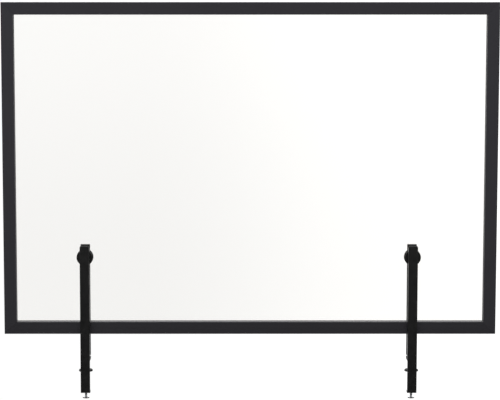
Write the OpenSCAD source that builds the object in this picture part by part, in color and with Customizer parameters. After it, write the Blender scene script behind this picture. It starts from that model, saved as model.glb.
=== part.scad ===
// Desk privacy panel: a clear pane in a dark aluminium frame, carried by two
// steel forks that slide along the bottom rail and clamp to a desk edge.
// Millimetres, +Z up, +X along the desk edge, +Y over the desk. The origin lies
// on the desk top, at the middle of the panel, in the pane's middle plane.

/* [Panel] */
// Overall width of the framed panel
panel_w = 1040; // [800:10:1400]
// Overall height of the framed panel
panel_h = 700; // [450:10:900]
// Height of the panel's lower edge above the desk top
panel_lift = 57; // [40:1:90]
// Width of the frame's face, from its outer edge inwards
face_w = 26; // [24:1:40]
// Depth of the frame, front to back
frame_d = 20; // [18:1:30]
// Thickness of the pane
pane_t = 4; // [3:1:6]

/* [Frame section] */
// Wall thickness of the extrusion
wall = 2; // [1.5:0.5:2.5]
// Depth of the groove that holds the pane
groove_h = 10; // [8:1:11]
// Thickness of the glazing gasket on each side of the pane
gasket_t = 1.5; // [1:0.5:2]
// How far the gasket's lip shows past the frame
gasket_lip = 0.2; // [0.2:0.2:1.2]
// Length of a corner key's arm
key_arm = 45; // [35:1:60]
// Distance from a corner to its locking screws
key_screw_inset = 32; // [25:1:32]

/* [Forks] */
// Distance from the panel's middle to the left clamp
left_clamp_x = 349; // [150:0.5:350]
// Distance from the panel's middle to the right clamp
right_clamp_x = 343.5; // [150:0.5:350]
// Width of the fork's bars
bar_w = 20; // [16:1:24]
// Depth of the front tube, front to back
bar_d = 10; // [8:0.5:12]
// Wall thickness of the front tube
bar_wall = 1.5; // [1:0.5:2]
// Thickness of the flat rear bar
rear_d = 5; // [4:0.5:8]
// Height of the fork's top above the desk top
fork_top = 246; // [230:1:300]
// Height of the glass pads above the desk top
glass_pad_z = 220; // [140:1:220]
// Diameter of the glass pads
glass_pad_d = 35; // [26:1:44]

/* [Desk clamps] */
// Depth from the desk top to the underside of the lower jaw
jaw_drop = 69; // [60:1:90]
// Thickness of the steel jaw strap
strap_t = 3; // [3:0.5:4]
// Width of the upper jaw's plate
jaw_w = 17; // [12:0.5:17]
// Outside radius of the strap's lower bend
bend_r = 3.5; // [3.5:0.5:6]
// Thickness of the rubber pad under the upper jaw
jaw_pad_t = 5; // [3:1:8]
// Open gap between the jaws as drawn
desk_gap = 20.8; // [12:0.1:24]
// Diameter of the pressure pad
press_d = 29.5; // [20:0.5:30]
// Distance from the strap's front face to the clamp screw's axis
screw_back = 18.8; // [18.4:0.1:20]
// Diameter of the clamp screw, M6
screw_d = 6; // [5:1:6]
// Diameter of the clamp screw's head
head_d = 14.5; // [12:0.5:17]
// Height of the clamp screw's head
head_h = 3.6; // [3.4:0.2:7]
// Visible length of screw between the lower jaw and the head
screw_out = 10.4; // [8:0.1:16]

/* [Hidden] */
$fn = 64;

frame_grey = "#38383c";
clamp_black = "#1d1d1e";
rubber_black = "#141414";
zinc = "#b9babc";
eps = 0.01;
clear = 0.3;          // gap between pieces that move past each other
run_fit = 0.05;       // radial clearance of a turning or sliding shaft
key_fit = 0.2;        // gap round a corner key in its chamber

// Frame section
chamber_h = face_w - groove_h - 2 * wall;
groove_w = pane_t + 2 * gasket_t;
leg_h = groove_h - wall;
leg_d = frame_d / 2 - groove_w / 2 - 2 * wall;
pane_inset = face_w - groove_h + 1;
key_screw_d = 4;
key_screw_head_d = 7;
key_screw_head_h = 1.2;
panel_mid_z = panel_lift + panel_h / 2;

// Fork
fork_in = frame_d / 2 + clear;
fork_out = fork_in + bar_d;
rear_out = fork_in + rear_d;
bar_z = jaw_pad_t + strap_t;
cap_t = 4;
cap_plug = 10;
backing_t = 3;
backing_d = glass_pad_d - 2;
pad_t = fork_in - pane_t / 2 - clear - backing_t;
bolt_d = 5;
bolt_head_d = 9.2;
bolt_head_h = 2.8;
rivet_d = 7;
rivet_len = 5.5;
sleeve_d = 12;
sleeve_z = panel_lift - clear - sleeve_d / 2;
stud_len = 4.5;

// Desk clamp
front_y = -fork_out;
screw_y = front_y + screw_back;
jaw_z = -jaw_drop;
nut_af = 10;
nut_h = 5;
nut_z = jaw_z + strap_t;
jaw_hole_d = screw_d + 0.6;
facing_t = 1.5;
facing_d = press_d - 1;
plate_t = 2;
hub_h = 4.2;
hub_top_d = 24;
hub_end_d = 12;
neck_d = 5;
plate_top = -desk_gap - facing_t;
plate_bottom = plate_top - plate_t;
hub_bottom = plate_bottom - hub_h;
neck_top = plate_bottom - 0.5;
head_top = jaw_z - screw_out;
socket_af = 4;
socket_h = 2.4;

// ---------- shared shapes ----------

// A cylinder along Y, from y to y + len
module y_cyl(d, y, len) {
  translate([0, y, 0]) rotate([-90, 0, 0]) cylinder(d = d, h = len);
}

// A mitred length along X with its outer edge on z = 0 and its inside towards +Z
module mitred(len, height, depth) {
  intersection() {
    rotate([90, 0, 90]) linear_extrude(len, center = true) children();
    rotate([90, 0, 0]) linear_extrude(depth + 2, center = true)
      polygon([[-len / 2, 0], [len / 2, 0],
               [len / 2 - height, height], [-len / 2 + height, height]]);
  }
}

// Places a child made for the bottom edge on the named side of the panel
module on_side(side) {
  angle = side == "top" ? 180 : side == "left" ? 90 : side == "right" ? -90 : 0;
  half = side == "top" || side == "bottom" ? panel_h / 2 : panel_w / 2;
  translate([0, 0, panel_mid_z]) rotate([0, angle, 0])
    translate([0, 0, -half]) children();
}

function side_length(side) = side == "top" || side == "bottom" ? panel_w : panel_h;

// Places a child made for the corner at low X and low Z on one of the four corners
module on_corner(sx, sz) {
  translate([sx * panel_w / 2, 0, panel_mid_z + sz * panel_h / 2])
    scale_sign(-sx, -sz) children();
}

module scale_sign(sx, sz) {
  mirror([sx < 0 ? 1 : 0, 0, 0]) mirror([0, 0, sz < 0 ? 1 : 0]) children();
}

module at_clamp(side) {
  translate([side < 0 ? -left_clamp_x : right_clamp_x, 0, 0]) children();
}

// ---------- framed panel ----------

module rail_section() {
  difference() {
    translate([-frame_d / 2, 0]) square([frame_d, face_w]);
    translate([-frame_d / 2 + wall, wall]) square([frame_d - 2 * wall, chamber_h]);
    for (s = [-1, 1])
      translate([s * (groove_w / 2 + wall + leg_d / 2) - leg_d / 2, wall + chamber_h - eps])
        square([leg_d, leg_h]);
    translate([-groove_w / 2, face_w - groove_h]) square([groove_w, groove_h + 1]);
  }
}

module rail(side) {
  len = side_length(side);
  color(frame_grey) on_side(side) difference() {
    mitred(len, face_w, frame_d) rail_section();
    for (s = [-1, 1])
      translate([s * (len / 2 - key_screw_inset), 0, wall + chamber_h / 2])
        y_cyl(key_screw_d, frame_d / 2 - wall - 1, wall + 2);
  }
}

module gasket_section() {
  low = face_w - groove_h;
  difference() {
    translate([-groove_w / 2, low]) square([groove_w, groove_h + gasket_lip]);
    translate([-pane_t / 2, pane_inset]) square([pane_t, groove_h + 1]);
  }
}

module gasket(side) {
  color(rubber_black) on_side(side)
    mitred(side_length(side), face_w + gasket_lip, frame_d) gasket_section();
}

module pane() {
  color([0.93, 0.96, 0.96, 0.3]) translate([0, 0, panel_mid_z])
    cube([panel_w - 2 * pane_inset, pane_t, panel_h - 2 * pane_inset], center = true);
}

module corner_key(sx, sz) {
  low = wall + key_fit;
  high = wall + chamber_h - key_fit;
  depth = frame_d - 2 * wall - 2 * key_fit;
  mid = wall + chamber_h / 2;
  color("#8d8f92") on_corner(sx, sz) difference() {
    rotate([90, 0, 0]) linear_extrude(depth, center = true)
      polygon([[low, low], [key_arm, low], [key_arm, high],
               [high, high], [high, key_arm], [low, key_arm]]);
    for (p = [[key_screw_inset, mid], [mid, key_screw_inset]])
      translate([p[0], 0, p[1]]) y_cyl(key_screw_d, 0, depth);
  }
}

module key_screws() {
  mid = wall + chamber_h / 2;
  color(frame_grey) for (sx = [-1, 1], sz = [-1, 1]) on_corner(sx, sz)
    for (p = [[key_screw_inset, mid], [mid, key_screw_inset]])
      translate([p[0], 0, p[1]]) {
        y_cyl(key_screw_d, 1, frame_d / 2 - 1);
        y_cyl(key_screw_head_d, frame_d / 2, key_screw_head_h);
      }
}

// ---------- fork ----------

module front_bar(side) {
  height = fork_top - cap_t - bar_z;
  color(clamp_black) at_clamp(side) difference() {
    translate([0, -fork_in - bar_d / 2, bar_z + height / 2]) difference() {
      cube([bar_w, bar_d, height], center = true);
      cube([bar_w - 2 * bar_wall, bar_d - 2 * bar_wall, height + 2], center = true);
    }
    for (z = [sleeve_z, glass_pad_z])
      translate([0, 0, z]) y_cyl(rivet_d, -fork_in - bar_wall - 1, bar_wall + 2);
  }
}

module rear_bar(side) {
  color(clamp_black) at_clamp(side) difference() {
    translate([-bar_w / 2, fork_in, bar_z]) cube([bar_w, rear_d, fork_top - bar_z]);
    for (z = [sleeve_z, glass_pad_z])
      translate([0, 0, z]) y_cyl(bolt_d, fork_in - 1, rear_d + 2);
  }
}

module end_cap(side) {
  color(rubber_black) at_clamp(side)
    translate([0, -fork_in - bar_d / 2, fork_top - cap_t / 2]) {
      cube([bar_w, bar_d, cap_t], center = true);
      translate([0, 0, -cap_t / 2 - cap_plug / 2])
        cube([bar_w - 2 * bar_wall, bar_d - 2 * bar_wall, cap_plug], center = true);
    }
}

module front_backing(side) {
  color(clamp_black) at_clamp(side) translate([0, 0, glass_pad_z]) {
    y_cyl(backing_d, -fork_in, backing_t);
    y_cyl(bolt_d, -fork_in - stud_len, stud_len + eps);
  }
}

module rear_backing(side) {
  color(clamp_black) at_clamp(side) translate([0, 0, glass_pad_z]) difference() {
    y_cyl(backing_d, fork_in - backing_t, backing_t);
    y_cyl(bolt_d, fork_in - backing_t + 0.6, backing_t);
  }
}

module glass_pad(side, face) {
  near = pane_t / 2 + clear;
  color(rubber_black) at_clamp(side) translate([0, 0, glass_pad_z])
    y_cyl(glass_pad_d, face < 0 ? -near - pad_t : near, pad_t);
}

// Threaded inserts in the front bar, for the cross bolt and the front pad's stud
module rivet_nuts(side) {
  color(zinc) at_clamp(side) for (z = [sleeve_z, glass_pad_z])
    translate([0, 0, z]) difference() {
      y_cyl(rivet_d, -fork_in - rivet_len, rivet_len);
      y_cyl(bolt_d, -fork_in - rivet_len - 1, rivet_len + 2);
    }
}

module pad_screw(side) {
  color(zinc) at_clamp(side) translate([0, 0, glass_pad_z]) {
    y_cyl(bolt_d, fork_in - backing_t + 0.6, rear_d + backing_t - 0.6);
    y_cyl(bolt_head_d, rear_out, bolt_head_h);
  }
}

module cross_bolt(side) {
  color(zinc) at_clamp(side) translate([0, 0, sleeve_z]) {
    y_cyl(bolt_d, -fork_in - stud_len, 2 * fork_in + rear_d + stud_len);
    y_cyl(bolt_head_d, rear_out, bolt_head_h);
  }
}

module cross_sleeve(side) {
  color(rubber_black) at_clamp(side) translate([0, 0, sleeve_z]) difference() {
    y_cyl(sleeve_d, -fork_in, 2 * fork_in);
    y_cyl(bolt_d, -fork_in - 1, 2 * fork_in + 2);
  }
}

// ---------- desk clamp ----------

// Side view of the strap's spine and lower bend, as Y and Z
module spine_profile() {
  translate([front_y, jaw_z + bend_r]) square([strap_t, bar_z - jaw_z - bend_r]);
  translate([front_y + bend_r, jaw_z + bend_r]) intersection() {
    difference() {
      circle(r = bend_r);
      circle(r = bend_r - strap_t);
    }
    translate([-bend_r, -bend_r]) square(bend_r);
  }
}

module jaw_bracket(side) {
  color(clamp_black) at_clamp(side) difference() {
    union() {
      rotate([90, 0, 90]) linear_extrude(bar_w, center = true) spine_profile();
      translate([-jaw_w / 2, front_y + strap_t - eps, jaw_pad_t])
        cube([jaw_w, rear_out - front_y - strap_t + eps, strap_t]);
      translate([0, 0, jaw_z]) linear_extrude(strap_t) {
        translate([-bar_w / 2, front_y + bend_r]) square([bar_w, screw_back - bend_r]);
        translate([0, screw_y]) circle(d = bar_w);
      }
    }
    translate([0, screw_y, jaw_z - 1]) cylinder(d = jaw_hole_d, h = strap_t + 2);
  }
}

module jaw_pad(side) {
  low = front_y + strap_t;
  color(rubber_black) at_clamp(side) translate([-bar_w / 2, low, 0])
    cube([bar_w, rear_out - low, jaw_pad_t]);
}

module weld_nut(side) {
  across_corners = nut_af / cos(30);
  color(clamp_black) at_clamp(side) translate([0, screw_y, nut_z]) difference() {
    cylinder(d = across_corners, h = nut_h, $fn = 6);
    translate([0, 0, -1]) cylinder(r = screw_d / 2 + run_fit, h = nut_h + 2);
  }
}

module pressure_plate(side) {
  color(clamp_black) at_clamp(side) translate([0, screw_y, 0]) difference() {
    rotate_extrude() polygon([
      [0, hub_bottom], [hub_end_d / 2, hub_bottom], [hub_top_d / 2, plate_bottom],
      [press_d / 2, plate_bottom], [press_d / 2, plate_top], [0, plate_top]]);
    translate([0, 0, hub_bottom - 1])
      cylinder(r = neck_d / 2 + run_fit, h = neck_top + clear - hub_bottom + 1);
  }
}

module pressure_pad(side) {
  color(rubber_black) at_clamp(side) translate([0, screw_y, plate_top])
    cylinder(d = facing_d, h = facing_t);
}

module clamp_screw(side) {
  color(zinc) at_clamp(side) translate([0, screw_y, 0]) difference() {
    union() {
      translate([0, 0, head_top - head_h]) cylinder(d = head_d, h = head_h);
      translate([0, 0, head_top - eps])
        cylinder(d = screw_d, h = hub_bottom - clear - head_top + eps);
      translate([0, 0, hub_bottom - clear - eps])
        cylinder(d = neck_d, h = neck_top - hub_bottom + clear + eps);
    }
    translate([0, 0, head_top - head_h - 1])
      cylinder(d = socket_af / cos(30), h = socket_h + 1, $fn = 6);
  }
}

// ---------- nodes ----------

rail("top");  // top_rail
rail("bottom");  // bottom_rail
rail("left");  // left_stile
rail("right");  // right_stile
gasket("top");  // top_gasket
gasket("bottom");  // bottom_gasket
gasket("left");  // left_gasket
gasket("right");  // right_gasket
pane();
corner_key(-1, 1);  // top_left_key
corner_key(1, 1);  // top_right_key
corner_key(-1, -1);  // bottom_left_key
corner_key(1, -1);  // bottom_right_key
key_screws();
jaw_bracket(-1);  // left_jaw_bracket
jaw_bracket(1);  // right_jaw_bracket
front_bar(-1);  // left_front_bar
front_bar(1);  // right_front_bar
rear_bar(-1);  // left_rear_bar
rear_bar(1);  // right_rear_bar
end_cap(-1);  // left_end_cap
end_cap(1);  // right_end_cap
front_backing(-1);  // left_front_backing
front_backing(1);  // right_front_backing
rear_backing(-1);  // left_rear_backing
rear_backing(1);  // right_rear_backing
glass_pad(-1, -1);  // left_front_glass_pad
glass_pad(1, -1);  // right_front_glass_pad
glass_pad(-1, 1);  // left_rear_glass_pad
glass_pad(1, 1);  // right_rear_glass_pad
rivet_nuts(-1);  // left_rivet_nuts
rivet_nuts(1);  // right_rivet_nuts
pad_screw(-1);  // left_pad_screw
pad_screw(1);  // right_pad_screw
cross_bolt(-1);  // left_cross_bolt
cross_bolt(1);  // right_cross_bolt
cross_sleeve(-1);  // left_cross_sleeve
cross_sleeve(1);  // right_cross_sleeve
jaw_pad(-1);  // left_jaw_pad
jaw_pad(1);  // right_jaw_pad
weld_nut(-1);  // left_weld_nut
weld_nut(1);  // right_weld_nut
pressure_plate(-1);  // left_pressure_plate
pressure_plate(1);  // right_pressure_plate
pressure_pad(-1);  // left_pressure_pad
pressure_pad(1);  // right_pressure_pad
clamp_screw(-1);  // left_clamp_screw
clamp_screw(1);  // right_clamp_screw
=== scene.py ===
import math

import bmesh
import bpy
from mathutils import Matrix, Vector


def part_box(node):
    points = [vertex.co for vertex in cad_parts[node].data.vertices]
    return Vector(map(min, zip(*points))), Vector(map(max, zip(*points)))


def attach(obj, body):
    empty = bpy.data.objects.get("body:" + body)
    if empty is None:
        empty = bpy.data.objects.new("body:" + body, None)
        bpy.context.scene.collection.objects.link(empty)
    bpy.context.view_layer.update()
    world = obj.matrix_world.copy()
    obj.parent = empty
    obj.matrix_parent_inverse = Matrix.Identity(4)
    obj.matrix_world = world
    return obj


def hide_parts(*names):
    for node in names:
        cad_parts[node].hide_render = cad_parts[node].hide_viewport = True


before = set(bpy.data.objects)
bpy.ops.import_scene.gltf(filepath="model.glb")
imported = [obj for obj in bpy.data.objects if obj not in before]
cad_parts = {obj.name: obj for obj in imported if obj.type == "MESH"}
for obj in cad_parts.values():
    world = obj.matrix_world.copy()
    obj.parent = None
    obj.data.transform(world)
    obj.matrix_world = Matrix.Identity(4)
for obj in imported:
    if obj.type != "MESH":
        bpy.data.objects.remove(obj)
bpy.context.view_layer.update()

MM = 0.001
SIDES = ("left", "right")

# Small dimensions that the CAD nodes' boxes don't give
EDGE = 0.5 * MM            # radius of an extrusion's edges
MITRE_GAP = 0.06 * MM      # hairline joint between two mitred lengths
BAR_CORNER = 0.6 * MM      # corner radius of the drawn tube and of the strap's long edges
CAP_CORNER = 0.8 * MM      # corner radius of the end cap's sides
CAP_DOME = 3.4 * MM        # rounding of the end cap's top
STRAP_T = 3 * MM           # thickness of the jaw strap and of the upper jaw
BEND_R = 3.5 * MM          # outside radius of the strap's bend
JAW_W = 17 * MM            # width of the upper jaw
THREAD_D = 6 * MM          # M6
THREAD_PITCH = 1 * MM
THREAD_DEPTH = 0.55 * MM
THREAD_PLAY = 0.05 * MM    # radial play of the thread in its nut, and of the neck in the hub
NECK_D = 5 * MM            # plain end of the clamp screw, inside the plate's hub
HEAD_H = 3.6 * MM          # height of the clamp screw's head
JAW_HOLE_D = 6.6 * MM      # hole in the lower jaw that the clamp screw passes
M5_RADIUS = 2.5 * MM       # shank of the pad screw and the cross bolt
BACKING_T = 3 * MM         # thickness of a glass pad's backing disc

# Hex sockets, across the flats
CLAMP_KEY = 4 * MM
BACK_KEY = 3 * MM
FRAME_KEY = 2.5 * MM


def span(node):
    """Low corner, high corner, centre and size of a CAD node."""
    low, high = (Vector(c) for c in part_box(node))
    return low, high, (low + high) / 2, high - low


def hex_radius(across_flats):
    """Corner radius of a hexagon."""
    return across_flats / 2 / math.cos(math.pi / 6)


# ---------- camera ----------

FOCAL_MM = 144
SENSOR_MM = 36
CAMERA_BACK = 4.178        # from the frame's front face
CAMERA_UP = 0.774          # above the panel's lower edge
CAMERA_LEFT = 0.050        # of the panel's middle
CAMERA_PITCH = math.radians(6.665)
CAMERA_SHIFT = 0.0473


def make_camera():
    rail_low = span("bottom_rail")[0]
    data = bpy.data.cameras.new("camera")
    data.lens = FOCAL_MM
    data.sensor_width = SENSOR_MM
    data.shift_x = CAMERA_SHIFT
    data.clip_end = 200
    camera = bpy.data.objects.new("camera", data)
    camera.location = (-CAMERA_LEFT, rail_low.y - CAMERA_BACK, rail_low.z + CAMERA_UP)
    camera.rotation_euler = (math.pi / 2 - CAMERA_PITCH, 0, 0)
    bpy.context.collection.objects.link(camera)
    bpy.context.scene.camera = camera


# ---------- materials ----------

class Nodes:
    """A material's node tree, with short ways to add nodes and links."""

    def __init__(self, name):
        self.material = bpy.data.materials.new(name)
        self.material.use_nodes = True
        self.tree = self.material.node_tree
        self.bsdf = self.tree.nodes["Principled BSDF"]
        self.place = self.add("ShaderNodeTexCoord").outputs["Object"]

    def add(self, kind, **values):
        node = self.tree.nodes.new(kind)
        for key, value in values.items():
            setattr(node, key, value)
        return node

    def link(self, source, target):
        self.tree.links.new(source, target)

    def set(self, **values):
        for key, value in values.items():
            self.bsdf.inputs[key.replace("_", " ")].default_value = value

    def noise(self, scale, detail=3.0, stretch=(1, 1, 1)):
        mapping = self.add("ShaderNodeMapping")
        mapping.inputs["Scale"].default_value = stretch
        self.link(self.place, mapping.inputs["Vector"])
        node = self.add("ShaderNodeTexNoise")
        node.inputs["Scale"].default_value = scale
        node.inputs["Detail"].default_value = detail
        self.link(mapping.outputs[0], node.inputs["Vector"])
        return node.outputs["Fac"]

    def mapped(self, source, low, high):
        node = self.add("ShaderNodeMapRange")
        node.inputs["From Min"].default_value = 0.3
        node.inputs["From Max"].default_value = 0.7
        node.inputs["To Min"].default_value = low
        node.inputs["To Max"].default_value = high
        self.link(source, node.inputs["Value"])
        return node.outputs["Result"]

    def colour(self, source, low, high):
        ramp = self.add("ShaderNodeValToRGB")
        ramp.color_ramp.elements[0].position = 0.35
        ramp.color_ramp.elements[1].position = 0.65
        ramp.color_ramp.elements[0].color = (*low, 1)
        ramp.color_ramp.elements[1].color = (*high, 1)
        self.link(source, ramp.inputs["Fac"])
        self.link(ramp.outputs["Color"], self.bsdf.inputs["Base Color"])

    def roughness(self, source, low, high):
        self.link(self.mapped(source, low, high), self.bsdf.inputs["Roughness"])

    def bump(self, source, height_mm, strength=1.0, under=None):
        node = self.add("ShaderNodeBump")
        node.inputs["Distance"].default_value = height_mm * MM
        node.inputs["Strength"].default_value = strength
        self.link(source, node.inputs["Height"])
        if under is not None:
            self.link(under, node.inputs["Normal"])
        self.link(node.outputs["Normal"], self.bsdf.inputs["Normal"])
        return node.outputs["Normal"]


def anodised(name, along, level):
    """Satin charcoal anodised extrusion, with faint drawing lines along one axis. Its level is the
    base colour and also carries painted light and shade.
    """
    m = Nodes(name)
    stretch = [1.0, 1.0, 1.0]
    stretch["xyz".index(along)] = 0.004
    lines = m.noise(1400, 2, stretch)
    patches = m.noise(9, 3)
    m.colour(patches, (level, level, level * 1.08), (level * 1.2, level * 1.2, level * 1.29))
    m.roughness(lines, 0.38, 0.50)
    m.set(Specular_IOR_Level=0.6, Specular_Tint=(0.90, 0.86, 1.0, 1))
    grain = m.bump(m.noise(5200, 2), 0.012)
    m.bump(lines, 0.02, under=grain)
    return m.material


def powder_coat(name, rough_low, rough_high, gloss):
    """Black powder coat with a fine orange-peel surface."""
    m = Nodes(name)
    m.colour(m.noise(40, 4), (0.0020, 0.0020, 0.0021), (0.0032, 0.0031, 0.0032))
    m.roughness(m.noise(120, 3), rough_low, rough_high)
    m.set(Specular_IOR_Level=gloss)
    peel = m.bump(m.noise(900, 2), 0.03)
    m.bump(m.noise(3800, 2), 0.012, under=peel)
    return m.material


def rubber(name, level):
    """Matt black rubber with a fine moulded grain and a little bloom."""
    m = Nodes(name)
    m.colour(m.noise(60, 4), (level, level, level), (level * 1.7, level * 1.7, level * 1.65))
    m.roughness(m.noise(300, 3), 0.66, 0.82)
    m.set(Specular_IOR_Level=0.2)
    m.bump(m.noise(2600, 3), 0.03)
    return m.material


def moulded_plastic(name):
    """Black plastic with a spark-eroded grain."""
    m = Nodes(name)
    m.colour(m.noise(80, 3), (0.0060, 0.0060, 0.0063), (0.0085, 0.0085, 0.0088))
    m.roughness(m.noise(500, 2), 0.60, 0.72)
    m.set(Specular_IOR_Level=0.10)
    m.bump(m.noise(3000, 3), 0.025)
    return m.material


def zinc_plate(name):
    """Bright zinc plate, slightly uneven in tone and gloss."""
    m = Nodes(name)
    m.colour(m.noise(420, 4), (0.36, 0.37, 0.39), (0.52, 0.52, 0.52))
    m.roughness(m.noise(700, 3), 0.22, 0.38)
    m.set(Metallic=1.0)
    m.bump(m.noise(4000, 2), 0.01)
    return m.material


def mill_aluminium(name):
    """Plain sawn and cast aluminium of the hidden corner keys."""
    m = Nodes(name)
    m.colour(m.noise(300, 4), (0.40, 0.41, 0.42), (0.55, 0.55, 0.56))
    m.roughness(m.noise(600, 3), 0.4, 0.6)
    m.set(Metallic=1.0)
    m.bump(m.noise(2500, 3), 0.03)
    return m.material


def black_oxide(name):
    """Blackened steel of the small screws, a little worn on the high spots."""
    m = Nodes(name)
    m.colour(m.noise(900, 4), (0.022, 0.022, 0.024), (0.05, 0.048, 0.046))
    m.roughness(m.noise(700, 3), 0.32, 0.48)
    m.set(Metallic=0.9)
    m.bump(m.noise(3500, 2), 0.01)
    return m.material


PANE_TINT_LOW = (0.978, 0.975, 0.965, 1)
PANE_TINT_HIGH = (0.982, 0.979, 0.970, 1)
FACE_ON_REFLECTION = 0.04


def clear_glass(name):
    """A clear sheet: it passes nearly all light and reflects more at a slant."""
    m = Nodes(name)
    haze = m.noise(3.0, 2)
    tint = m.add("ShaderNodeValToRGB")
    tint.color_ramp.elements[0].color = PANE_TINT_LOW
    tint.color_ramp.elements[1].color = PANE_TINT_HIGH
    m.link(haze, tint.inputs["Fac"])
    through = m.add("ShaderNodeBsdfTransparent")
    m.link(tint.outputs["Color"], through.inputs["Color"])
    m.set(Base_Color=(0, 0, 0, 1), Roughness=0.02, Metallic=0.0)
    mirror = m.add("ShaderNodeBsdfGlossy")
    mirror.inputs["Color"].default_value = (1, 1, 1, 1)
    mirror.inputs["Roughness"].default_value = 0.02
    slant = m.add("ShaderNodeLayerWeight")
    power = m.add("ShaderNodeMath", operation="POWER")
    power.inputs[1].default_value = 5
    m.link(slant.outputs["Facing"], power.inputs[0])
    share = m.add("ShaderNodeMath", operation="MULTIPLY_ADD")
    share.inputs[1].default_value = 1 - FACE_ON_REFLECTION
    share.inputs[2].default_value = FACE_ON_REFLECTION
    m.link(power.outputs[0], share.inputs[0])
    mix = m.add("ShaderNodeMixShader")
    m.link(share.outputs[0], mix.inputs[0])
    m.link(through.outputs[0], mix.inputs[1])
    m.link(mirror.outputs[0], mix.inputs[2])
    output = m.tree.nodes["Material Output"]
    m.link(mix.outputs[0], output.inputs["Surface"])
    m.tree.nodes.remove(m.bsdf)
    return m.material


# One anodised finish in two copies: the rails' darker level is painted shade, and the stiles'
# lighter level is painted light
FRAME_X_SHADED = anodised("anodised_along_x_shaded", "x", 0.0093)
FRAME_Z_LIT = anodised("anodised_along_z_lit", "z", 0.0125)
BLACK_COAT = powder_coat("satin_black_coat", 0.30, 0.40, 0.45)
MATT_COAT = powder_coat("matt_black_coat", 0.55, 0.65, 0.3)
PAD_RUBBER = rubber("pad_rubber", 0.0045)
GASKET_RUBBER = rubber("gasket_rubber", 0.010)
CAP_PLASTIC = moulded_plastic("cap_plastic")
ZINC = zinc_plate("zinc_plate")
KEY_METAL = mill_aluminium("mill_aluminium")
OXIDE = black_oxide("black_oxide")
GLASS = clear_glass("clear_glass")


# ---------- mesh tools ----------

SHARP = math.radians(32)
WELD = 1e-7                # metres within which points are one


def smooth_but_sharp(bm):
    """Smooth faces, with every edge over the SHARP angle kept crisp."""
    for face in bm.faces:
        face.smooth = True
    for edge in bm.edges:
        if edge.is_manifold:
            edge.smooth = edge.calc_face_angle(0) < SHARP


def add_piece(name, bm, body, material, nodes=(), weighted=True):
    """Makes a mesh object of bm, shades it, gives it its material, and ties it to its body and CAD
    nodes.
    """
    bmesh.ops.remove_doubles(bm, verts=bm.verts, dist=WELD)
    bmesh.ops.recalc_face_normals(bm, faces=bm.faces)
    smooth_but_sharp(bm)
    mesh = bpy.data.meshes.new(name)
    bm.to_mesh(mesh)
    bm.free()
    mesh.materials.append(material)
    piece = bpy.data.objects.new(name, mesh)
    bpy.context.collection.objects.link(piece)
    if weighted:
        shade = piece.modifiers.new("flat_faces", "WEIGHTED_NORMAL")
        shade.keep_sharp = True
    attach(piece, body)
    if nodes:
        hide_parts(*nodes)
    return piece


def rounded(corners, steps=4):
    """A closed outline from corners (a, b, radius), each rounded to its own radius."""
    outline = []
    for i, (a, b, radius) in enumerate(corners):
        here = Vector((a, b))
        if radius <= 0:
            outline.append(here)
            continue
        back = (Vector(corners[i - 1][:2]) - here).normalized()
        on = (Vector(corners[(i + 1) % len(corners)][:2]) - here).normalized()
        half = back.angle(on) / 2
        centre = here + (back + on).normalized() * radius / math.sin(half)
        first = here + back * radius / math.tan(half) - centre
        last = here + on * radius / math.tan(half) - centre
        turn = math.atan2(first.x * last.y - first.y * last.x, first.dot(last))
        for k in range(steps + 1):
            outline.append(centre + Matrix.Rotation(turn * k / steps, 2) @ first)
    return outline


def box_outline(low_a, high_a, low_b, high_b, radius):
    return [(low_a, low_b, radius), (high_a, low_b, radius),
            (high_a, high_b, radius), (low_a, high_b, radius)]


def loft(bm, rings, close_ends=True):
    """Joins rings of equal length with quads, and caps both ends."""
    loops = [[bm.verts.new(p) for p in ring] for ring in rings]
    for one, two in zip(loops, loops[1:]):
        for i in range(len(one)):
            j = (i + 1) % len(one)
            bm.faces.new((one[i], one[j], two[j], two[i]))
    if close_ends:
        bm.faces.new(loops[0][::-1])
        bm.faces.new(loops[-1])
    return loops


def on_axis(axis, a, b, along):
    """A point from its two outline coordinates and its place along the axis."""
    if axis == "x":
        return Vector((along, a, b))
    if axis == "y":
        return Vector((a, along, b))
    return Vector((a, b, along))


def prism(bm, outline, axis, low, high, edge=0.0, edge_steps=2, flat_start=False):
    """Extrudes an outline along an axis. Its end edges are rounded by edge."""
    centre = sum(outline, Vector((0, 0))) / len(outline)
    spread_a = max(abs(p.x - centre.x) for p in outline)
    spread_b = max(abs(p.y - centre.y) for p in outline)

    def ring(along, inset):
        shrink_a, shrink_b = 1 - inset / spread_a, 1 - inset / spread_b
        return [on_axis(axis, centre.x + (p.x - centre.x) * shrink_a,
                        centre.y + (p.y - centre.y) * shrink_b, along) for p in outline]

    turns = [math.pi / 2 * k / edge_steps for k in range(edge_steps + 1)] if edge else [0]
    start = [ring(low + edge * (1 - math.sin(t)), edge * (1 - math.cos(t))) for t in turns]
    end = [ring(high - edge * (1 - math.sin(t)), edge * (1 - math.cos(t))) for t in turns]
    loft(bm, ([ring(low, 0)] if flat_start or not edge else start[::-1]) + end)


def lathe(bm, profile, axis, centre, segments=48, ripple=None, bored=False):
    """Turns (radius, along) points round an axis through centre.

    ripple(angle, i) adds to a radius. A bored profile closes on its own first point.
    """
    rings = []
    for i, (radius, along) in enumerate(profile):
        ring = []
        for k in range(segments):
            angle = 2 * math.pi * k / segments
            r = radius + (ripple(angle, i) if ripple else 0)
            ring.append(centre + on_axis(axis, r * math.cos(angle), r * math.sin(angle), along))
        rings.append(ring)
    loft(bm, rings + rings[:1] if bored else rings, close_ends=not bored)


def turned(points, steps=4):
    """A lathe profile from (radius, along, fillet) points; the end points keep their places."""
    return [(p.x, p.y) for p in rounded(points, steps)]


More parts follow.
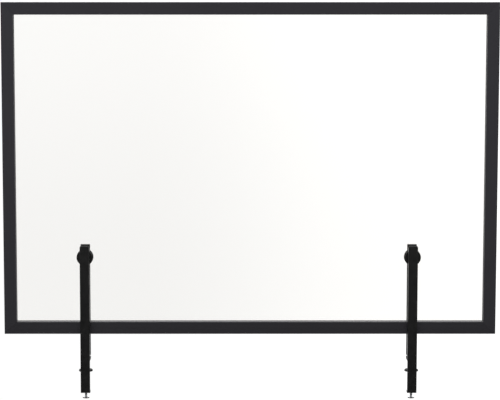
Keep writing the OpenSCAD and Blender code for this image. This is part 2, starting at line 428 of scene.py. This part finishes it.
def cut(piece, axis, centre, radius, low, high, sides=32):
    """Cuts a round or many-sided hole through a piece."""
    bm = bmesh.new()
    outline = [Vector((radius * math.cos(2 * math.pi * k / sides),
                       radius * math.sin(2 * math.pi * k / sides))) for k in range(sides)]
    loft(bm, [[centre + on_axis(axis, p.x, p.y, along) for p in outline] for along in (low, high)])
    bmesh.ops.recalc_face_normals(bm, faces=bm.faces)
    mesh = bpy.data.meshes.new("cutter")
    bm.to_mesh(mesh)
    bm.free()
    cutter = bpy.data.objects.new("cutter", mesh)
    bpy.context.collection.objects.link(cutter)
    hole = piece.modifiers.new("hole", "BOOLEAN")
    hole.object = cutter
    hole.operation = "DIFFERENCE"
    hole.solver = "EXACT"
    piece.modifiers.move(len(piece.modifiers) - 1, 0)
    graph = bpy.context.evaluated_depsgraph_get()
    for other in piece.modifiers[1:]:
        other.show_viewport = False
    graph.update()
    result = bpy.data.meshes.new_from_object(piece.evaluated_get(graph))
    for other in piece.modifiers[1:]:
        other.show_viewport = True
    piece.modifiers.remove(hole)
    piece.data = result
    bpy.data.objects.remove(cutter)
    bm = bmesh.new()
    bm.from_mesh(result)
    smooth_but_sharp(bm)
    bm.to_mesh(result)
    bm.free()


# ---------- framed panel ----------

rail_low, _, rail_mid, rail_size = span("bottom_rail")
top_high = span("top_rail")[1]
panel_mid = Vector((0, rail_mid.y, (rail_low.z + top_high.z) / 2))
panel_size = Vector((rail_size.x, rail_size.y, top_high.z - rail_low.z))
FACE = rail_size.z
HALF_DEPTH = rail_size.y / 2
gasket_low, gasket_high, _, gasket_size = span("bottom_gasket")
GROOVE_BOTTOM = gasket_low.z - rail_low.z
GASKET_TOP = gasket_high.z - rail_low.z
GROOVE_HALF = gasket_size.y / 2
pane_size = span("pane")[3]

TURN = {"bottom": 0, "top": math.pi, "left": math.pi / 2, "right": -math.pi / 2}


def edge_place(side):
    """Takes a length made along X, with its outer edge at z = 0, to a side of the panel."""
    half = (panel_size.z if side in ("bottom", "top") else panel_size.x) / 2
    return (Matrix.Translation(panel_mid) @ Matrix.Rotation(TURN[side], 4, "Y")
            @ Matrix.Translation((0, 0, -half)))


def mitred(bm, outline, side, gap, edge):
    """Extrudes an outline of (y, inward) points along a side, with mitred ends."""
    half = (panel_size.x if side in ("bottom", "top") else panel_size.z) / 2

    def ring(sign, back, inset):
        mid = (min(p.y for p in outline) + max(p.y for p in outline)) / 2
        points = []
        for p in outline:
            y = p.x - math.copysign(min(inset, abs(p.x)), p.x)
            z = p.y - math.copysign(min(inset, abs(p.y - mid)), p.y - mid)
            points.append(Vector((sign * (half - z - gap - back), y, z)))
        return points

    rings = [ring(-1, 0, edge), ring(-1, edge, 0), ring(1, edge, 0), ring(1, 0, edge)]
    loft(bm, rings)
    bmesh.ops.transform(bm, matrix=edge_place(side), verts=bm.verts)


def rail_outline():
    lip = 0.35 * MM
    return rounded([
        (-HALF_DEPTH, 0, EDGE), (HALF_DEPTH, 0, EDGE),
        (HALF_DEPTH, FACE, EDGE), (GROOVE_HALF, FACE, lip),
        (GROOVE_HALF, GROOVE_BOTTOM, 0), (-GROOVE_HALF, GROOVE_BOTTOM, 0),
        (-GROOVE_HALF, FACE, lip), (-HALF_DEPTH, FACE, EDGE)])


def gasket_outline():
    """A U that wraps the pane's edge; each lip ends in a soft bead on the glass."""
    pane_half = pane_size.y / 2
    slot = GROOVE_BOTTOM + MM
    bead = 0.6 * MM
    fit = 0.02 * MM
    return rounded([
        (-GROOVE_HALF + fit, GROOVE_BOTTOM + fit, 0), (GROOVE_HALF - fit, GROOVE_BOTTOM + fit, 0),
        (GROOVE_HALF - fit, GASKET_TOP, bead), (pane_half + fit, GASKET_TOP, bead),
        (pane_half + fit, slot, 0), (-pane_half - fit, slot, 0),
        (-pane_half - fit, GASKET_TOP, bead), (-GROOVE_HALF + fit, GASKET_TOP, bead)])


def make_panel():
    """Four mitred extrusions, and a gasket strip in each."""
    names = {"top": "top_rail", "bottom": "bottom_rail",
             "left": "left_stile", "right": "right_stile"}
    for side, name in names.items():
        bm = bmesh.new()
        mitred(bm, rail_outline(), side, MITRE_GAP, 0.12 * MM)
        # the rails take the copy with painted shade, and the stiles the copy with painted light
        metal = FRAME_X_SHADED if side in ("top", "bottom") else FRAME_Z_LIT
        add_piece(f"{name}_extrusion", bm, "panel", metal, [name])
        bm = bmesh.new()
        mitred(bm, gasket_outline(), side, 0.01 * MM, 0.05 * MM)
        add_piece(f"{side}_gasket_strip", bm, "panel", GASKET_RUBBER, [f"{side}_gasket"])


def make_pane():
    """The flat sheet, with ground edges."""
    low, high, _, _ = span("pane")
    arris = 0.4 * MM
    bm = bmesh.new()
    corners = (low.x, low.z), (high.x, low.z), (high.x, high.z), (low.x, high.z)
    outline = [Vector(corner) for corner in corners]
    prism(bm, outline, "y", low.y, high.y, arris, 1)
    add_piece("glass_sheet", bm, "panel", GLASS, ["pane"])


def make_key_screws():
    """Low button heads with a hex recess, eight on the back of the frame."""
    back = span("key_screws")[1].y
    radius = 3.5 * MM
    reach = 1.2 * MM       # height of a head
    inset = 32 * MM        # from the corner, along the frame
    chamber = 8 * MM       # from the frame's outer edge to the middle of its chamber
    edge_x, edge_z = panel_size.x / 2 - chamber, panel_size.z / 2 - chamber
    profile = turned([(0, back - reach, 0), (radius, back - reach, 0),
                      (radius, back - reach * 0.55, 0.3 * MM), (radius * 0.7, back, 0.9 * MM),
                      (0, back, 0)])
    for sx in (-1, 1):
        for sz in (-1, 1):
            places = [(sx * (panel_size.x / 2 - inset), sz * edge_z),
                      (sx * edge_x, sz * (panel_size.z / 2 - inset))]
            for i, (x, z) in enumerate(places):
                centre = Vector((x, 0, panel_mid.z + z))
                bm = bmesh.new()
                lathe(bm, profile, "y", centre, 32)
                corner = ("l" if sx < 0 else "r") + ("low" if sz < 0 else "top")
                name = f"key_screw_{corner}{i}"
                piece = add_piece(name, bm, "panel", OXIDE)
                cut(piece, "y", centre, hex_radius(FRAME_KEY), back - reach * 0.8, back + MM, 6)
                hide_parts("key_screws")


# ---------- forks ----------

def clamp_centre(side):
    return span(f"{side}_clamp_screw")[2]


def make_bars(side):
    """The front tube with its domed end cap, and the flat rear bar."""
    body = f"{side}_clamp"
    low, high, _, _ = span(f"{side}_front_bar")
    outline = rounded(box_outline(low.x, high.x, low.y, high.y, BAR_CORNER), 5)
    bm = bmesh.new()
    prism(bm, outline, "z", low.z, high.z)
    add_piece(f"{side}_front_tube", bm, body, BLACK_COAT, [f"{side}_front_bar"])
    cap_top = span(f"{side}_end_cap")[1].z
    outline = rounded(box_outline(low.x, high.x, low.y, high.y, CAP_CORNER), 5)
    bm = bmesh.new()
    seam = 0.05 * MM
    prism(bm, outline, "z", high.z + seam, cap_top, CAP_DOME, 10, flat_start=True)
    add_piece(f"{side}_domed_cap", bm, body, CAP_PLASTIC, [f"{side}_end_cap"])
    low, high, _, _ = span(f"{side}_rear_bar")
    outline = rounded(box_outline(low.x, high.x, low.y, high.y, BAR_CORNER), 5)
    bm = bmesh.new()
    prism(bm, outline, "z", low.z, high.z, BAR_CORNER, 4, flat_start=True)
    add_piece(f"{side}_flat_bar", bm, body, BLACK_COAT, [f"{side}_rear_bar"])


def make_glass_pads(side):
    """Round rubber pads with a soft rim and a shallow cup towards the glass."""
    body = f"{side}_clamp"
    for face, sign in (("front", -1), ("rear", 1)):
        low, high, mid, size = span(f"{side}_{face}_glass_pad")
        near = high.y if sign < 0 else low.y
        far = low.y if sign < 0 else high.y
        radius = size.x / 2
        cup = 0.8 * MM
        profile = turned([
            (0, near + sign * cup, 0), (radius * 0.62, near + sign * cup, 0.3 * MM),
            (radius * 0.74, near, 0.6 * MM), (radius, near, 1.1 * MM),
            (radius, far, 0.9 * MM), (0, far, 0)], 5)
        bm = bmesh.new()
        lathe(bm, profile, "y", Vector((mid.x, 0, mid.z)), 64)
        add_piece(f"{side}_{face}_pad", bm, body, PAD_RUBBER,
                  [f"{side}_{face}_glass_pad"], weighted=False)
        _, _, mid, size = span(f"{side}_{face}_backing")
        near = far
        far = near + sign * BACKING_T
        radius = size.x / 2
        profile = turned([(0, near, 0), (radius, near, 0.3 * MM), (radius, far, 0.8 * MM),
                          (0, far, 0)])
        bm = bmesh.new()
        lathe(bm, profile, "y", Vector((mid.x, 0, mid.z)), 64)
        add_piece(f"{side}_{face}_backing_disc", bm, body, MATT_COAT,
                  [f"{side}_{face}_backing"])


def make_back_screws(side):
    """Button heads with hex sockets on the rear bar, for the pad and the cross bolt."""
    body = f"{side}_clamp"
    bar_back = span(f"{side}_rear_bar")[1].y
    for name in ("pad_screw", "cross_bolt"):
        low, high, mid, size = span(f"{side}_{name}")
        radius = size.x / 2
        centre = Vector((mid.x, 0, mid.z))
        profile = turned([
            (0, low.y, 0), (M5_RADIUS, low.y, 0.3 * MM), (M5_RADIUS, bar_back, 0),
            (radius, bar_back, 0), (radius, bar_back + 0.7 * MM, 0.3 * MM),
            (radius * 0.62, high.y, 1.2 * MM), (0, high.y, 0)])
        bm = bmesh.new()
        lathe(bm, profile, "y", centre, 48)
        piece = add_piece(f"{side}_{name}_button", bm, body, ZINC)
        cut(piece, "y", centre, hex_radius(BACK_KEY), high.y - 1.7 * MM, high.y + MM, 6)
        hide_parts(f"{side}_{name}")


def make_sleeve(side):
    """Rubber tube over the cross bolt, on which the bottom rail rests."""
    low, high, mid, size = span(f"{side}_cross_sleeve")
    radius = size.x / 2
    inner = 2.6 * MM
    profile = turned([(inner, low.y, 0.1 * MM), (radius, low.y, 0.8 * MM),
                      (radius, high.y, 0.8 * MM), (inner, high.y, 0.1 * MM)])
    bm = bmesh.new()
    lathe(bm, profile, "y", Vector((mid.x, 0, mid.z)), 40, bored=True)
    add_piece(f"{side}_rail_sleeve", bm, f"{side}_clamp", PAD_RUBBER,
              [f"{side}_cross_sleeve"])


# ---------- desk clamps ----------

def strap_sections(side):
    """The spine from its top down to the lower jaw's round end.

    Each section is (y, z, turn, half width): turn is the strap's direction in the YZ plane.
    """
    low, high, mid, size = span(f"{side}_jaw_bracket")
    half = size.x / 2
    screw_y = clamp_centre(side).y
    mid_r = BEND_R - STRAP_T / 2
    front_y = low.y + STRAP_T / 2
    low_z = low.z + STRAP_T / 2
    sections = [(front_y, high.z, 1.5 * math.pi, half)]
    bend_steps = 6
    for k in range(bend_steps + 1):
        t = math.pi / 2 * k / bend_steps
        sections.append((front_y + mid_r - mid_r * math.cos(t),
                         low_z + mid_r - mid_r * math.sin(t), 1.5 * math.pi + t, half))
    round_steps = 12
    for k in range(round_steps + 1):
        t = math.pi / 2 * k / round_steps
        sections.append((screw_y + half * math.sin(t), low_z, 2 * math.pi,
                         max(half * math.cos(t), 0.4 * MM)))
    return mid.x, sections


def make_bracket(side):
    """The bent strap, and the upper jaw's plate welded behind it."""
    x, sections = strap_sections(side)
    rings = []
    for y, z, turn, half in sections:
        radius = min(BAR_CORNER, half * 0.9)
        outline = rounded(box_outline(-half, half, -STRAP_T / 2, STRAP_T / 2, radius), 4)
        up = Vector((0, -math.sin(turn), math.cos(turn)))
        rings.append([Vector((x, y, z)) + Vector((p.x, 0, 0)) + up * p.y for p in outline])
    bm = bmesh.new()
    loft(bm, rings)
    strap = add_piece(f"{side}_jaw_strap", bm, f"{side}_clamp", BLACK_COAT)
    low, high, _, _ = span(f"{side}_jaw_bracket")
    centre = Vector((x, clamp_centre(side).y, 0))
    cut(strap, "z", centre, JAW_HOLE_D / 2, low.z - MM, low.z + STRAP_T + MM)
    jaw = box_outline(x - JAW_W / 2, x + JAW_W / 2, high.z - STRAP_T, high.z, 0.4 * MM)
    outline = rounded(jaw, 4)
    bm = bmesh.new()
    prism(bm, outline, "y", low.y + STRAP_T, high.y, 0.3 * MM)
    plate = add_piece(f"{side}_upper_jaw", bm, f"{side}_clamp", BLACK_COAT)
    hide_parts(f"{side}_jaw_bracket")
    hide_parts(f"{side}_jaw_bracket")


def make_welds(side):
    """Fillet welds where the bars' inner faces meet the upper jaw, with a stacked-bead surface."""
    body = f"{side}_clamp"
    jaw_top = span(f"{side}_jaw_bracket")[1].z
    for face, sign in (("front", 1), ("rear", -1)):
        low, high, mid, _ = span(f"{side}_{face}_bar")
        wall = high.y if sign > 0 else low.y
        start, stop = mid.x - JAW_W / 2 + 0.8 * MM, mid.x + JAW_W / 2 - 0.8 * MM
        ripples, per_ripple, around = 13, 6, 10
        rings = []
        for k in range(ripples * per_ripple + 1):
            t = k / (ripples * per_ripple)
            ends = min(1.0, math.sin(math.pi * t) * 5)
            wave = 0.16 * (1 - 2 * abs((t * ripples) % 1 - 0.5))
            radius = 1.9 * MM * (0.15 + 0.85 * ends ** 0.5) * (1 + wave)
            rings.append([Vector((start + (stop - start) * t,
                                  wall - sign * 0.4 * MM + sign * radius * math.cos(a),
                                  jaw_top - 0.4 * MM + radius * math.sin(a)))
                          for a in (2 * math.pi * i / around for i in range(around))])
        bm = bmesh.new()
        loft(bm, rings)
        add_piece(f"{side}_{face}_weld", bm, body, BLACK_COAT, weighted=False)


def make_jaw_pad(side):
    """Rubber block under the upper jaw, ribbed below, with a sloped back edge."""
    low, high, _, _ = span(f"{side}_jaw_pad")
    rib, depth, slope = 2.6 * MM, 0.7 * MM, 3.4 * MM
    corners = [(low.y, high.z, 0.2 * MM), (low.y, low.z, 0.5 * MM)]
    y = low.y + 2 * MM
    while y + rib < high.y - slope - MM:
        corners += [(y, low.z, 0.15 * MM), (y + depth * 0.6, low.z + depth, 0.15 * MM),
                    (y + depth * 1.2, low.z, 0.15 * MM)]
        y += rib
    corners += [(high.y - slope, low.z, 0.6 * MM), (high.y, low.z + slope, 0.8 * MM),
                (high.y, high.z, 0.2 * MM)]
    bm = bmesh.new()
    outline = rounded(corners, 3)
    loft(bm, [[Vector((x, p.x, p.y)) for p in outline] for x in (low.x, high.x)])
    ends = [e for e in bm.edges if abs(e.verts[0].co.x - e.verts[1].co.x) < 1e-9]
    bmesh.ops.bevel(bm, geom=ends, offset=0.12 * MM, segments=1, affect="EDGES", clamp_overlap=True)
    add_piece(f"{side}_jaw_rubber", bm, f"{side}_clamp", PAD_RUBBER,
              [f"{side}_jaw_pad"], weighted=False)


def make_weld_nut(side):
    """Hex nut with chamfered corners and a bore that clears the thread."""
    low, high, mid, size = span(f"{side}_weld_nut")
    corner_r = size.x / 2
    segments = 48
    chamfer = 0.6 * MM

    def hexed(angle, limit):
        flat = corner_r * math.cos(math.pi / 6)
        turn = (angle % (math.pi / 3)) - math.pi / 6
        return min(flat / math.cos(turn), limit)

    bore = THREAD_D / 2 + THREAD_PLAY
    levels = [(None, bore, low.z), (corner_r, None, low.z), (corner_r, None, high.z - chamfer),
              (corner_r * 0.9, None, high.z), (None, bore, high.z)]
    loops = []
    for limit, radius, z in levels:
        ring = []
        for k in range(segments):
            angle = 2 * math.pi * k / segments
            r = radius if limit is None else hexed(angle, limit)
            ring.append(Vector((mid.x + r * math.cos(angle), mid.y + r * math.sin(angle), z)))
        loops.append(ring)
    bm = bmesh.new()
    loft(bm, loops + [loops[0]], close_ends=False)
    add_piece(f"{side}_weld_nut_body", bm, f"{side}_clamp", BLACK_COAT,
              [f"{side}_weld_nut"])


def make_press(side):
    """The pressure plate with its conical hub, and the grooved rubber facing on top."""
    body = f"{side}_press"
    low, high, mid, size = span(f"{side}_pressure_plate")
    rim = size.x / 2
    plate_t, hub_top, hub_end = 2 * MM, 11 * MM, 6 * MM    # the hub's radii, wide and narrow
    bore = NECK_D / 2 + THREAD_PLAY
    under = high.z - plate_t
    bore_top = high.z - 2.2 * MM
    profile = turned([
        (0, high.z, 0), (rim, high.z, 0.5 * MM), (rim, under, 0.6 * MM), (hub_top, under, 0.8 * MM),
        (hub_end, low.z, 0.7 * MM), (bore, low.z, 0.3 * MM), (bore, bore_top, 0),
        (0, bore_top, 0)])
    centre = Vector((mid.x, mid.y, 0))
    bm = bmesh.new()
    lathe(bm, profile, "z", centre, 64)
    add_piece(f"{side}_press_plate", bm, body, MATT_COAT, [f"{side}_pressure_plate"])
    low, high, _, size = span(f"{side}_pressure_pad")
    rim, groove, depth = size.x / 2, 0.5 * MM, 0.5 * MM
    points = [(0, high.z, 0)]
    for share in (0.36, 0.6, 0.82):
        near = rim * share
        points += [(near, high.z, 0.1 * MM), (near + groove, high.z - depth, 0.1 * MM),
                   (near + 2 * groove, high.z, 0.1 * MM)]
    points += [(rim, high.z, 0.5 * MM), (rim, low.z, 0.1 * MM), (0, low.z, 0)]
    bm = bmesh.new()
    lathe(bm, turned(points, 3), "z", centre, 64)
    add_piece(f"{side}_press_rubber", bm, body, PAD_RUBBER,
              [f"{side}_pressure_pad"], weighted=False)


def make_screw(side):
    """M6 clamp screw: a helical thread, a plain neck, and a knurled head with a hex socket."""
    body = f"{side}_screw"
    low, high, mid, size = span(f"{side}_clamp_screw")
    centre = Vector((mid.x, mid.y, 0))
    head_top = low.z + HEAD_H
    neck_low = span(f"{side}_pressure_plate")[0].z - 0.3 * MM
    radius = THREAD_D / 2
    around, per_pitch, run_out = 32, 8, 1.2 * MM
    rows = int(round((neck_low - head_top) / THREAD_PITCH * per_pitch))
    rings = []
    for row in range(rows + 1):
        z = head_top + (neck_low - head_top) * row / rows
        fade = min(1.0, (z - head_top) / run_out, (neck_low - z) / run_out)
        ring = []
        for k in range(around):
            phase = ((z - head_top) / THREAD_PITCH - k / around) % 1
            height = min(1.0, max(0.0, 1.25 - abs(phase - 0.5) * 3.1))
            r = radius - THREAD_DEPTH * (1 - height) * max(fade, 0.0)
            angle = 2 * math.pi * k / around
            ring.append(centre + Vector((r * math.cos(angle), r * math.sin(angle), z)))
        rings.append(ring)
    neck = NECK_D / 2
    for r, z in ((neck, neck_low), (neck, high.z - 0.4 * MM), (neck - 0.4 * MM, high.z)):
        rings.append([centre + Vector((r * math.cos(2 * math.pi * k / around),
                                       r * math.sin(2 * math.pi * k / around), z))
                      for k in range(around)])
    bm = bmesh.new()
    loft(bm, rings)
    shank = add_piece(f"{side}_screw_shank", bm, body, ZINC, weighted=False)
    head_r = size.x / 2
    teeth, knurl = 40, 0.28 * MM
    profile = turned([
        (0, low.z, 0), (head_r - 0.9 * MM, low.z, 0.3 * MM), (head_r, low.z + 0.8 * MM, 0.2 * MM),
        (head_r, head_top - 0.8 * MM, 0.2 * MM), (head_r - 0.9 * MM, head_top, 0.3 * MM),
        (0, head_top, 0)], 3)

    def ripple(angle, i):
        radius_here = profile[i][0]
        if radius_here < head_r - 0.5 * MM:
            return 0
        return -knurl * (0.5 + 0.5 * math.cos(teeth * angle))

    bm = bmesh.new()
    lathe(bm, profile, "z", centre, teeth * 4, ripple)
    head = add_piece(f"{side}_screw_head", bm, body, ZINC)
    cut(head, "z", centre, hex_radius(CLAMP_KEY), low.z - MM, low.z + 2.4 * MM, 6)
    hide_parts(f"{side}_clamp_screw")
    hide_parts(f"{side}_clamp_screw")


# ---------- CAD nodes that stay ----------

def dress_hidden_nodes():
    """Metal for the corner keys and the inserts, whose CAD shape is right as it is."""
    keep = {node: KEY_METAL for node in
            ("top_left_key", "top_right_key", "bottom_left_key", "bottom_right_key")}
    for side in SIDES:
        keep[f"{side}_rivet_nuts"] = ZINC
    for node, material in keep.items():
        mesh_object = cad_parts[node]
        for slot in mesh_object.material_slots:
            slot.material = material


# ---------- studio ----------

SKY_BACK = 1.0             # brightness of the surroundings behind the panel
SKY_FRONT_LOW = 0.02       # below the horizon, in front of the panel
SKY_FRONT_HIGH = 0.98      # above it
SKY_TOP = 1.0              # added overhead
DESK_HEIGHT = 0.73         # of the desk top above the floor
FLOOR_HALF = 4.0           # half its width
FLOOR_LEFT = 1.02          # brightness, as the sky's above it
FLOOR_RIGHT = 1.15


def make_world():
    """White all round for the eye. As light it is white behind and above, and dimmer in front."""
    world = bpy.data.worlds.new("studio")
    world.use_nodes = True
    bpy.context.scene.world = world
    tree = world.node_tree
    add, link = tree.nodes.new, tree.links.new
    direction = add("ShaderNodeSeparateXYZ")
    link(add("ShaderNodeTexCoord").outputs["Generated"], direction.inputs[0])

    def ranged(source, from_low, from_high, to_low, to_high):
        node = add("ShaderNodeMapRange")
        node.interpolation_type = "SMOOTHSTEP"
        for key, value in (("From Min", from_low), ("From Max", from_high),
                           ("To Min", to_low), ("To Max", to_high)):
            node.inputs[key].default_value = value
        link(source, node.inputs["Value"])
        return node.outputs["Result"]

    def total(one, two):
        node = add("ShaderNodeMath")
        link(one, node.inputs[0])
        link(two, node.inputs[1])
        return node.outputs[0]

    x, y, z = (direction.outputs[axis] for axis in "XYZ")
    back = ranged(y, -0.35, 0.45, 0.0, SKY_BACK)
    front = ranged(z, -0.16, 0.12, SKY_FRONT_LOW, SKY_FRONT_HIGH)
    top = ranged(z, 0.05, 1.0, 0.0, SKY_TOP)
    light = total(total(back, front), top)
    shown = total(ranged(x, -0.05, 0.11, 1.0, 1.15), ranged(z, -0.17, -0.01, 0.015, 0.055))
    mix = add("ShaderNodeMix")
    mix.data_type = "FLOAT"
    link(add("ShaderNodeLightPath").outputs["Is Camera Ray"], mix.inputs["Factor"])
    link(light, mix.inputs["A"])
    link(shown, mix.inputs["B"])
    background = tree.nodes["Background"]
    background.inputs["Color"].default_value = (1, 1, 1, 1)
    link(mix.outputs["Result"], background.inputs["Strength"])


def make_floor():
    """Plain white floor below the desk top, seen by the eye only, and only from above."""
    bm = bmesh.new()
    corners = [(-FLOOR_HALF, -FLOOR_HALF), (FLOOR_HALF, -FLOOR_HALF),
               (FLOOR_HALF, FLOOR_HALF), (-FLOOR_HALF, FLOOR_HALF)]
    bm.faces.new([bm.verts.new((x, y, -DESK_HEIGHT)) for x, y in corners])
    mesh = bpy.data.meshes.new("floor")
    bm.to_mesh(mesh)
    bm.free()
    floor = bpy.data.objects.new("floor", mesh)
    bpy.context.collection.objects.link(floor)
    material = bpy.data.materials.new("floor_white")
    material.use_nodes = True
    tree = material.node_tree
    add, link = tree.nodes.new, tree.links.new
    tree.nodes.clear()
    white, gone = add("ShaderNodeEmission"), add("ShaderNodeBsdfTransparent")
    mix = add("ShaderNodeMixShader")
    place, shade = add("ShaderNodeSeparateXYZ"), add("ShaderNodeMapRange")
    link(add("ShaderNodeTexCoord").outputs["Object"], place.inputs[0])
    link(place.outputs["X"], shade.inputs["Value"])
    for key, value in (("From Min", -0.3), ("From Max", 0.9),
                       ("To Min", FLOOR_LEFT), ("To Max", FLOOR_RIGHT)):
        shade.inputs[key].default_value = value
    link(shade.outputs["Result"], white.inputs["Strength"])
    link(add("ShaderNodeNewGeometry").outputs["Backfacing"], mix.inputs["Fac"])
    link(white.outputs[0], mix.inputs[1])
    link(gone.outputs[0], mix.inputs[2])
    link(mix.outputs[0], add("ShaderNodeOutputMaterial").inputs["Surface"])
    mesh.materials.append(material)
    floor.visible_diffuse = False
    floor.visible_glossy = False
    floor.visible_shadow = False


def make_softbox(name, place, aim, size, power):
    """A rectangular light aimed at a point; its power is in watts."""
    data = bpy.data.lights.new(name, "AREA")
    data.shape = "RECTANGLE"
    data.size, data.size_y = size
    data.energy = power
    light = bpy.data.objects.new(name, data)
    light.location = place
    light.rotation_euler = (Vector(aim) - Vector(place)).to_track_quat("-Z", "Y").to_euler()
    bpy.context.collection.objects.link(light)


def make_studio():
    make_world()
    make_floor()
    make_softbox("key_light", (-1.6, -2.2, 2.4), panel_mid, (1.6, 1.2), 14)
    make_softbox("top_light", (0.0, 0.3, 2.8), panel_mid, (2.2, 1.2), 30)
    bpy.context.scene.view_settings.view_transform = "Standard"


make_camera()
make_panel()
make_pane()
make_key_screws()
for clamp in SIDES:
    make_bars(clamp)
    make_glass_pads(clamp)
    make_back_screws(clamp)
    make_sleeve(clamp)
    make_bracket(clamp)
    make_welds(clamp)
    make_jaw_pad(clamp)
    make_weld_nut(clamp)
    make_press(clamp)
    make_screw(clamp)
dress_hidden_nodes()
make_studio()

bpy.context.view_layer.update()
